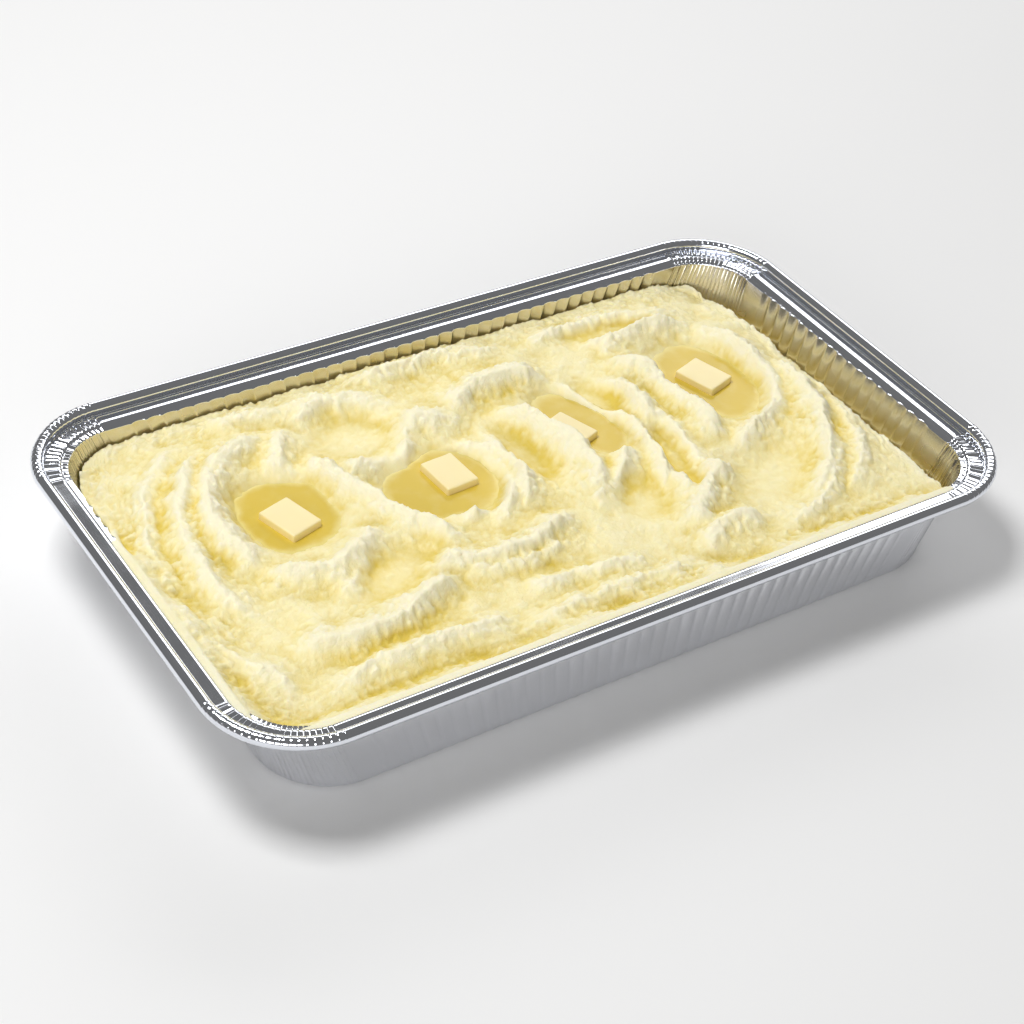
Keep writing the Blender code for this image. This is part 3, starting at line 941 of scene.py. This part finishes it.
@dataclass
class MashedPotato:
    """The mash: a spooned surface over the tray's floor. Sizes in metres unless they say mm.

    Attributes:
        tray: The tray it fills.
        level_mm: Height of the mash between its ridges.
        top_mm: The highest that it reaches.
        bend_mm: The height above which crests are pressed down towards the top.
        crest_gain: Height of the ridges against those listed.
        crest_spread: Width of the ridges against those listed.
        crest_power: How round a ridge's top is.
        taper: Share of a ridge that each end tapers over.
        drag_mm: Height of the fine lines beside a ridge.
        dry_share: Share of its full depth that a hollow without butter reaches.
        right_drop_mm: Fall of the mash at the right wall.
        back_rise_mm: Rise at the back wall.
        front_rise_mm: Rise at the front and left walls.
        right_corner_mm: Fall in the back right corner.
        left_corner_mm: Fall in the back left corner.
        cell: Width of one cell of its surface.
        clearance: Gap to the foil.
    """

    tray: FoilTray
    material: bpy.types.Material | None = None
    level_mm: float = 47.4
    top_mm: float = 61.0
    bend_mm: float = 55.0
    crest_gain: float = 1.85
    crest_spread: float = 1.3
    crest_power: float = 1.5
    taper: float = 0.24
    drag_mm: float = 0.35
    dry_share: float = 0.85
    right_drop_mm: float = 13.0
    back_rise_mm: float = 2.0
    front_rise_mm: float = 10.0
    right_corner_mm: float = 5.0
    left_corner_mm: float = 1.5
    cell: float = 1.22 * MM
    clearance: float = 1.7 * MM

    def height_mm(self, x: Array, y: Array) -> tuple[Array, Array]:
        """Height of the surface, and how grainy it is.

        Args:
            x: The points' x, in mm.
            y: The points' y, in mm.

        Returns:
            Heights in mm, and graininess from 0, spooned smooth, to 1.
        """
        warp_x = x + 3.4 * Noise(22.0, 1, 3)(x, y) + 1.4 * Noise(5.5, 2, 2)(x, y)
        warp_y = y + 3.4 * Noise(22.0, 3, 3)(x, y) + 1.4 * Noise(5.5, 4, 2)(x, y)
        base = self._base(x, y)
        crests, drag = self._crests(warp_x, warp_y)
        height = base + crests
        grainy = np.ones_like(height)
        for hollow in HOLLOWS:
            share = hollow.share(warp_x, warp_y)
            height = height + (hollow.floor - height) * share * self.dry_share
            grainy *= 1.0 - 0.75 * share
        drag *= grainy
        lumps = Noise(13.0, 7, 2)(x, y) * 1.3 + np.abs(Noise(6.0, 8, 2)(x, y)) * 3.6 - 1.3
        edge = smooth_step((np.maximum(np.abs(x) / 240.0, np.abs(y) / 132.0) - 0.8) / 0.12)
        patchy = 0.55 + 0.6 * smooth_step(0.5 + 0.9 * Noise(34.0, 16, 2)(x, y))
        lumpy = 0.2 + 0.8 * grainy * patchy * np.maximum(0.25 + 0.85 * smooth_step(crests / 7.0), 0.8 * edge)
        crags = 0.9 * np.abs(Noise(3.4, 17, 2)(x, y)) - 0.3
        height += lumps * lumpy + crags * (0.3 + 0.7 * grainy) + drag
        for well in WELLS:
            share = well.share(warp_x, warp_y)
            bowl = well.floor + 0.25 * Noise(12.0, 9, 2)(x, y)
            height = height + (bowl - height) * share
            grainy *= 1.0 - 0.85 * share
        over = np.maximum(height - self.bend_mm, 0.0)
        room = self.top_mm - self.bend_mm
        return np.where(over > 0.0, self.bend_mm + room * np.tanh(over / room), height), grainy

    def _base(self, x: Array, y: Array) -> Array:
        """The mound without its ridges: lower where it meets the walls."""
        half_x, half_y, _ = self.tray._wall_size(self.tray.flange_height)
        half_x, half_y = half_x / MM, half_y / MM
        uneven = 6.0 * Noise(30.0, 12, 2)(x, y)
        height = self.level_mm + 2.0 * Noise(45.0, 13, 2)(x, y) + 1.6 * Noise(19.0, 14, 2)(x, y)
        height = height - self.right_drop_mm * smooth_step((x - half_x + 20.0 + uneven) / 19.0)
        height = height + self.back_rise_mm * smooth_step((y - half_y + 18.0 + uneven) / 15.0)
        front = smooth_step((-y - half_y + 17.0 + uneven) / 19.0) * smooth_step((222.0 - x) / 30.0)
        left = smooth_step((-x - half_x + 15.0 + uneven) / 17.0) * smooth_step((70.0 - y) / 50.0)
        height = height + self.front_rise_mm * np.maximum(front, left)
        back = (y - 84.0) / 42.0
        height = height - self.right_corner_mm * smooth_step(np.minimum((x - 186.0) / 34.0, back))
        return height - self.left_corner_mm * smooth_step(np.minimum((-x - 190.0) / 36.0, back))

    def _crests(self, x: Array, y: Array) -> tuple[Array, Array]:
        """The ridges, and the fine drag lines beside them.

        Args:
            x: The points' x after warping, in mm.
            y: The points' y after warping, in mm.

        Returns:
            Height of the ridges and of the drag lines, in mm.
        """
        total = np.zeros_like(x)
        drag = np.zeros_like(x)
        wander = Noise(16.0, 20, 2)(x, y)
        for number, ridge in enumerate(RIDGES):
            along, outside = ridge.measure(x, y)
            taper = smooth_step(along / self.taper) * smooth_step((1.0 - along) / self.taper)
            width = np.where(outside < 0.0, ridge.inner, ridge.outer)
            slope = np.abs(outside / (self.crest_spread * width)) ** self.crest_power
            crest = self.crest_gain * ridge.rise * taper * np.exp(-slope)
            total += crest ** 3
            pitch = 4.6 + 0.5 * (number % 4)
            band = np.exp(-(outside / 15.0) ** 2) * taper
            wave = np.cos(2.0 * math.pi * outside / pitch + 2.2 * wander + number)
            drag = np.where(np.abs(drag) > band, drag, self.drag_mm * band * wave)
        return np.cbrt(total) * (1.0 + 0.28 * Noise(20.0, 21, 2)(x, y)), drag

    def build(self) -> bpy.types.Object:
        """Build the mash's mesh and put it in place of the CAD mash.

        Returns:
            The mash piece.
        """
        half_x = self.tray.length / 2.0 - self.tray.flange_inner - 0.4 * MM
        half_y = self.tray.width / 2.0 - self.tray.flange_inner - 0.4 * MM
        corner = self.tray.corner - self.tray.flange_inner - 0.4 * MM
        cells_x = round(2.0 * half_x / self.cell)
        cells_y = round(2.0 * half_y / self.cell)
        u, v = np.meshgrid(np.linspace(-half_x, half_x, cells_x + 1),
                           np.linspace(-half_y, half_y, cells_y + 1), indexing="ij")
        x, y = self._round_corners(u, v, half_x, half_y, corner)
        height, grainy = self.height_mm(x / MM, y / MM)
        cover = self._cover(x, y, half_x, half_y)
        inset = np.minimum(half_x - np.abs(x), half_y - np.abs(y))
        lap = cover * smooth_step((7.5 * MM - inset) / (2.5 * MM))
        ledge = (self.tray.flange_height - self.tray.ledge_drop) / MM + 0.6
        height = height + lap * np.maximum(ledge - height, 0.0)
        # Painted shade for the material: how far each point lies below the mash round it.
        fold_shade = self._painted_fold_shade(height)
        z = height * MM
        share_x, share_y = u / half_x, v / half_y
        near = smooth_step((np.maximum(np.abs(share_x), np.abs(share_y)) - 0.84) / 0.16) * (1.0 - cover)
        wall_x, wall_y = self._wall_place(share_x, share_y, z)
        x = x + near * (wall_x - x)
        y = y + near * (wall_y - y)
        points = np.stack([x, y, z], axis=-1).reshape(-1, 3)
        number = np.arange((cells_x + 1) * (cells_y + 1)).reshape(cells_x + 1, cells_y + 1)
        quads = np.stack([number[:-1, :-1], number[1:, :-1], number[1:, 1:], number[:-1, 1:]],
                         axis=-1).reshape(-1, 4)
        border = np.concatenate([number[:-1, 0], number[-1, :-1], number[:0:-1, -1], number[0, :0:-1]])
        rings = [border]
        blocks = [points]
        total = len(points)
        round_x, round_y = share_x.reshape(-1)[border], share_y.reshape(-1)[border]
        for level in (54.0 * MM, 28.0 * MM, self.tray.foil + 0.4 * MM):
            ring_z = np.minimum(level, points[border, 2] - 1.5 * MM)
            ring_x, ring_y = self._wall_place(round_x, round_y, ring_z)
            blocks.append(np.column_stack([ring_x, ring_y, ring_z]))
            rings.append(total + np.arange(len(border)))
            total += len(border)
        turn = np.arange(len(border))
        after = (turn + 1) % len(border)
        bands = [quads]
        for high, low in zip(rings[:-1], rings[1:]):
            bands.append(np.stack([low[turn], low[after], high[after], high[turn]], axis=1))
        fan = np.stack([np.full(len(border), total), rings[-1][after], rings[-1][turn]], axis=1)
        blocks.append(np.array([(0.0, 0.0, self.tray.foil + 0.4 * MM)]))
        mesh = mesh_from_arrays("mash", np.vstack(blocks), np.vstack(bands), fan)
        extra = np.zeros(3 * len(border) + 1)
        store(mesh, "fold_shade", np.concatenate([fold_shade.ravel(), extra + 0.5]))
        store(mesh, "grainy", np.concatenate([grainy.ravel(), extra]))
        return place_piece("mash", mesh, [self.material], ("mashed_potato",))

    @staticmethod
    def _cover(x: Array, y: Array, half_x: float, half_y: float) -> Array:
        """Where the mash laps over the ledge, 0 to 1: along the front and most of the left."""
        front = smooth_step((-y / half_y - 0.6) / 0.25) * smooth_step((0.232 - x) / 0.02)
        left = smooth_step((-x / half_x - 0.7) / 0.2) * smooth_step((0.075 - y) / 0.04)
        return np.maximum(front, left)

    def _wall_place(self, share_x: Array, share_y: Array, z: Array) -> tuple[Array, Array]:
        """Points against the inside of the wall.

        Args:
            share_x: Place across the mash's length, -1 to 1.
            share_y: Place across its width, -1 to 1.
            z: Heights, metres.

        Returns:
            The points' x and y.
        """
        ledge = self.tray.flange_height - self.tray.ledge_drop
        climb = np.clip(z / ledge, 0.0, 1.0)
        low_x, low_y, low_corner = (size - self.clearance for size in self.tray._wall_size(0.0))
        top_x, top_y, top_corner = (size - self.clearance for size in self.tray._wall_size(ledge))
        wall_x = low_x + climb * (top_x - low_x)
        wall_y = low_y + climb * (top_y - low_y)
        corner = low_corner + climb * (top_corner - low_corner)
        return self._round_corners(share_x * wall_x, share_y * wall_y, wall_x, wall_y, corner)

    @staticmethod
    def _round_corners(u: Array, v: Array, half_x: float, half_y: float,
                       corner: float) -> tuple[Array, Array]:
        """Move the square corners of a grid onto rounded ones."""
        over_u = np.abs(u) - (half_x - corner)
        over_v = np.abs(v) - (half_y - corner)
        inside = (over_u <= 0.0) | (over_v <= 0.0)
        length = np.maximum(np.hypot(over_u, over_v), 1e-9)
        scale = np.where(inside, 1.0, np.maximum(over_u, over_v) / length)
        x = np.where(inside, u, np.sign(u) * (half_x - corner + over_u * scale))
        y = np.where(inside, v, np.sign(v) * (half_y - corner + over_v * scale))
        return x, y

    def _painted_fold_shade(self, height: Array) -> Array:
        """How deep each point lies below the mash round it, from 0 on a crest to 1 deep in a hollow; it sets
        the painted light and shade of the mash's colour.
        """
        near = height - blur(height, 3)
        wide = height - blur(height, 9)
        return np.clip(0.46 - 0.11 * near - 0.085 * wide, 0.0, 1.0)


def blur(values: Array, radius: int) -> Array:
    """Average a grid over a square window, twice.

    Args:
        values: The grid.
        radius: Cells on each side of the middle one.

    Returns:
        The smoothed grid.
    """
    for _ in range(2):
        for axis in (0, 1):
            padded = np.pad(values, [(radius + 1, radius) if a == axis else (0, 0) for a in (0, 1)], "edge")
            total = np.cumsum(padded, axis=axis)
            width = 2 * radius + 1
            high = np.take(total, range(width, total.shape[axis]), axis=axis)
            low = np.take(total, range(0, total.shape[axis] - width), axis=axis)
            values = (high - low) / width
    return values


# ---- Butter ----

@dataclass
class ButterPat:
    """A slice of butter that has begun to melt. Sizes in metres.

    Attributes:
        number: Which CAD pat it stands for.
        turn: Degrees it is turned.
    """

    number: int
    turn: float
    material: bpy.types.Material | None = None
    length: float = 29.0 * MM
    width: float = 22.0 * MM
    edge: float = 1.3 * MM
    skirt: float = 0.8 * MM

    def build(self) -> bpy.types.Object:
        """Build the pat's mesh and put it in place of the CAD pat.

        Returns:
            The pat piece.
        """
        low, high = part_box("butter_pat_%d" % self.number)
        centre = (Vector(low) + Vector(high)) / 2.0
        height = high[2] - low[2]
        bm = bmesh.new()
        bmesh.ops.create_cube(bm, size=1.0)
        for vertex in bm.verts:
            vertex.co = (vertex.co.x * self.width, vertex.co.y * self.length, vertex.co.z * height)
        bmesh.ops.bevel(bm, geom=bm.edges[:], offset=self.edge, segments=4, profile=0.6, affect="EDGES")
        bmesh.ops.subdivide_edges(bm, edges=bm.edges[:], cuts=3, use_grid_fill=True)
        points = np.array([vertex.co[:] for vertex in bm.verts])
        moved, foot = self._soften(points, height)
        turned = Matrix.Rotation(math.radians(self.turn), 3, "Z")
        for vertex, place in zip(bm.verts, moved):
            vertex.co = turned @ Vector(place) + centre
        name = "butter_%d" % self.number
        mesh = bpy.data.meshes.new(name)
        bm.to_mesh(mesh)
        bm.free()
        mesh.shade_smooth()
        store(mesh, "foot", foot)
        return place_piece(name, mesh, [self.material], ("butter_pat_%d" % self.number,))

    def _soften(self, points: Array, height: float) -> tuple[Array, Array]:
        """Let the foot spread and the faces sag a little.

        Args:
            points: The block's points.
            height: The block's height.

        Returns:
            The moved points, and how near each is to the foot, 0 to 1.
        """
        depth = 0.5 - points[:, 2] / height
        spread = 1.0 + (self.skirt / self.width) * smooth_step((depth - 0.45) / 0.5)
        uneven = 1.0 + 0.012 * Noise(9.0 * MM, 40 + self.number, 2)(points[:, 0] + points[:, 2], points[:, 1])
        moved = points.copy()
        moved[:, 0] *= spread * uneven
        moved[:, 1] *= spread * uneven
        sag = 0.25 * MM * Noise(13.0 * MM, 50 + self.number)(points[:, 0], points[:, 1])
        moved[:, 2] += np.minimum(sag, 0.0) * (1.0 - depth)
        return moved, smooth_step((depth - 0.3) / 0.7)


@dataclass
class ButterPool:
    """Melted butter lying in a well; its shore is where the mash rises through it. Metres.

    Attributes:
        number: Which CAD pool it stands for.
        well: The hollow that it lies in.
        mash: The mash round it.
        spread: Its size against the well's.
        level: Height of its surface.
        full_colour_mm: Depth at which it shows its full colour.
        thickness_mm: How far its underside lies below its surface.
    """

    number: int
    well: Hollow
    mash: MashedPotato
    material: bpy.types.Material | None = None
    spread: float = 0.86
    level: float = 44.4 * MM
    full_colour_mm: float = 1.7
    thickness_mm: float = 2.4
    rings: int = 26
    spokes: int = 96

    def build(self) -> bpy.types.Object:
        """Build the pool's mesh and put it in place of the CAD pool.

        Returns:
            The pool piece.
        """
        angle = math.radians(self.well.turn)
        around = np.linspace(0.0, 2.0 * math.pi, self.spokes, endpoint=False)
        reach = np.linspace(0.0, 1.0, self.rings + 1)[1:] * self.spread
        along = np.outer(reach, np.cos(around)) * self.well.radii[0]
        across = np.outer(reach, np.sin(around)) * self.well.radii[1]
        x = self.well.centre[0] + along * math.cos(angle) - across * math.sin(angle)
        y = self.well.centre[1] + along * math.sin(angle) + across * math.cos(angle)
        ground, _ = self.mash.height_mm(x, y)
        depth = self.level / MM - ground
        meniscus = 0.15 * np.exp(-np.maximum(depth, 0.0) / 0.35)
        top = self.level / MM + meniscus - 0.6 * smooth_step(-depth / 1.2)
        points = [np.array([[self.well.centre[0], self.well.centre[1], self.level / MM]])]
        points += [np.stack([x[r], y[r], top[r]], axis=1) for r in range(self.rings)]
        under_mm = self.level / MM - self.thickness_mm
        bottom = np.stack([x[-1], y[-1], np.full(self.spokes, under_mm)], axis=1)
        points += [bottom, np.array([[self.well.centre[0], self.well.centre[1], under_mm]])]
        turn = np.arange(self.spokes)
        after = (turn + 1) % self.spokes
        quads = []
        for ring in range(self.rings):
            low = 1 + ring * self.spokes
            high = low + self.spokes
            quads.append(np.stack([low + turn, high + turn, high + after, low + after], axis=1))
        first = np.stack([np.zeros(self.spokes, dtype=int), 1 + turn, 1 + after], axis=1)
        last_ring = 1 + self.rings * self.spokes
        last = last_ring + self.spokes
        under = np.stack([np.full(self.spokes, last), last_ring + after, last_ring + turn], axis=1)
        name = "pool_%d" % self.number
        mesh = mesh_from_arrays(name, np.vstack(points) * MM, np.vstack(quads), np.vstack([first, under]))
        seen = np.clip(depth / self.full_colour_mm, 0.0, 1.0)
        values = np.concatenate([[1.0], seen.ravel(), np.ones(self.spokes + 1)])
        store(mesh, "depth", values)
        return place_piece(name, mesh, [self.material], ("melted_butter_%d" % self.number,))


# ---- Studio ----

@dataclass(frozen=True)
class Softbox:
    """A rectangular lamp with a white front.

    Attributes:
        name: Its name.
        place: Where it hangs.
        aim: The point it faces.
        size: Its width and height, metres.
        power: Its output, watts.
    """

    name: str
    place: tuple[float, float, float]
    aim: tuple[float, float, float]
    size: Point
    power: float

    def hang(self) -> bpy.types.Object:
        """Put the lamp in the scene."""
        data = bpy.data.lights.new(self.name, "AREA")
        data.shape = "RECTANGLE"
        data.size, data.size_y = self.size
        data.energy = self.power
        lamp = bpy.data.objects.new(self.name, data)
        lamp.location = self.place
        lamp.rotation_euler = (Vector(self.aim) - Vector(self.place)).to_track_quat("-Z", "Y").to_euler()
        bpy.context.scene.collection.objects.link(lamp)
        return lamp


@dataclass(frozen=True)
class Viewpoint:
    """The camera, looking down on the tray from its front left corner. Degrees and metres."""

    heading: float = 37.17
    downward: float = 38.72
    roll: float = 6.41
    distance: float = 1.3115
    target: tuple[float, float, float] = (0.01934, 0.01304, 0.0)
    lens: float = 75.1
    shift: Point = (-0.0220, 0.0026)

    def set_up(self) -> None:
        """Create the camera and make it the scene's."""
        heading = math.radians(self.heading)
        downward = math.radians(self.downward)
        roll = math.radians(self.roll)
        forward = Vector((math.sin(heading) * math.cos(downward),
                          math.cos(heading) * math.cos(downward), -math.sin(downward)))
        level = forward.cross(Vector((0.0, 0.0, 1.0))).normalized()
        upright = level.cross(forward)
        right = level * math.cos(roll) + upright * math.sin(roll)
        up = upright * math.cos(roll) - level * math.sin(roll)
        data = bpy.data.cameras.new("camera")
        data.lens = self.lens
        data.shift_x, data.shift_y = self.shift
        camera = bpy.data.objects.new("camera", data)
        turned = Matrix((right, up, -forward)).transposed().to_4x4()
        camera.matrix_world = Matrix.Translation(Vector(self.target) - forward * self.distance) @ turned
        bpy.context.scene.collection.objects.link(camera)
        bpy.context.scene.camera = camera


@dataclass
class Studio:
    """Floor, lamps, surroundings and view."""

    floor_half: float = 4.0
    sky: str = "#C6C5C3"
    sky_strength: float = 0.30
    lamps: tuple[Softbox, ...] = (
        Softbox("back_softbox", (1.50, 1.67, 1.27), (0.0, 0.0, 0.0), (2.8, 1.0), 24.0),
        Softbox("key_softbox", (-0.60, 0.45, 1.95), (0.0, 0.0, 0.0), (0.7, 0.7), 27.0),
        Softbox("front_fill", (-1.8, -1.9, 1.0), (0.0, 0.0, 0.0), (2.0, 1.0), 26.0),
    )

    def build(self) -> None:
        """Set the floor, the lamps, the sky and the camera."""
        scene = bpy.context.scene
        scene.view_settings.view_transform = "Standard"
        half = self.floor_half
        mesh = bpy.data.meshes.new("floor")
        mesh.from_pydata([(-half, -half, 0.0), (half, -half, 0.0), (half, half, 0.0), (-half, half, 0.0)],
                         [], [(0, 1, 2, 3)])
        floor = bpy.data.objects.new("floor", mesh)
        floor.location.z = -0.2 * MM
        mesh.materials.append(PaintedFloor("#F4F4F4").make())
        scene.collection.objects.link(floor)
        for lamp in self.lamps:
            lamp.hang()
        world = bpy.data.worlds.new("studio_air")
        scene.world = world
        world.use_nodes = True
        background = world.node_tree.nodes["Background"]
        background.inputs["Color"].default_value = linear(self.sky)
        background.inputs["Strength"].default_value = self.sky_strength
        Viewpoint().set_up()


def main() -> None:
    """Build the tray, the mash, the butter and the studio."""
    logging.basicConfig(level=logging.INFO)
    Studio().build()
    # The faint blue tint of the bright and satin foil colours is a painted reflection of blue-grey
    # surroundings.
    bright = RolledFoil(FoilSide.BRIGHT, "#EAEDF4", 0.09, 0.03, 1.2 * MM, 0.012 * MM).make()
    satin = RolledFoil(FoilSide.SATIN, "#E9EAEE", 0.36, 0.05, 0.8 * MM, 0.01 * MM).make()
    buttered = RolledFoil(FoilSide.BUTTERED, "#DCD5C3", 0.24, 0.04, 0.8 * MM, 0.01 * MM).make()
    # The first and third colours are painted light and shade: lighter cream for the crests, deeper yellow for
    # the folds.
    potato = CreamedPotato("#FDF5D4", "#F8ECB6", "#E2C959", 1.5 * MM, 0.6 * MM).make()
    butter = SoftButter("#F8E7B0", "#F0D684", 0.34).make()
    oil = MeltedButter("#EADA8C", "#D8BC48", 0.10).make()

    tray = FoilTray(bright=bright, satin=satin, buttered=buttered)
    tray.build()
    mash = MashedPotato(tray, potato)
    mash.build()
    for number, (well, turn) in enumerate(zip(WELLS, (16.0, 4.0, 20.0, 18.0)), start=1):
        ButterPool(number, well, mash, oil).build()
        ButterPat(number, turn, butter).build()


if __name__ == "__main__":
    main()
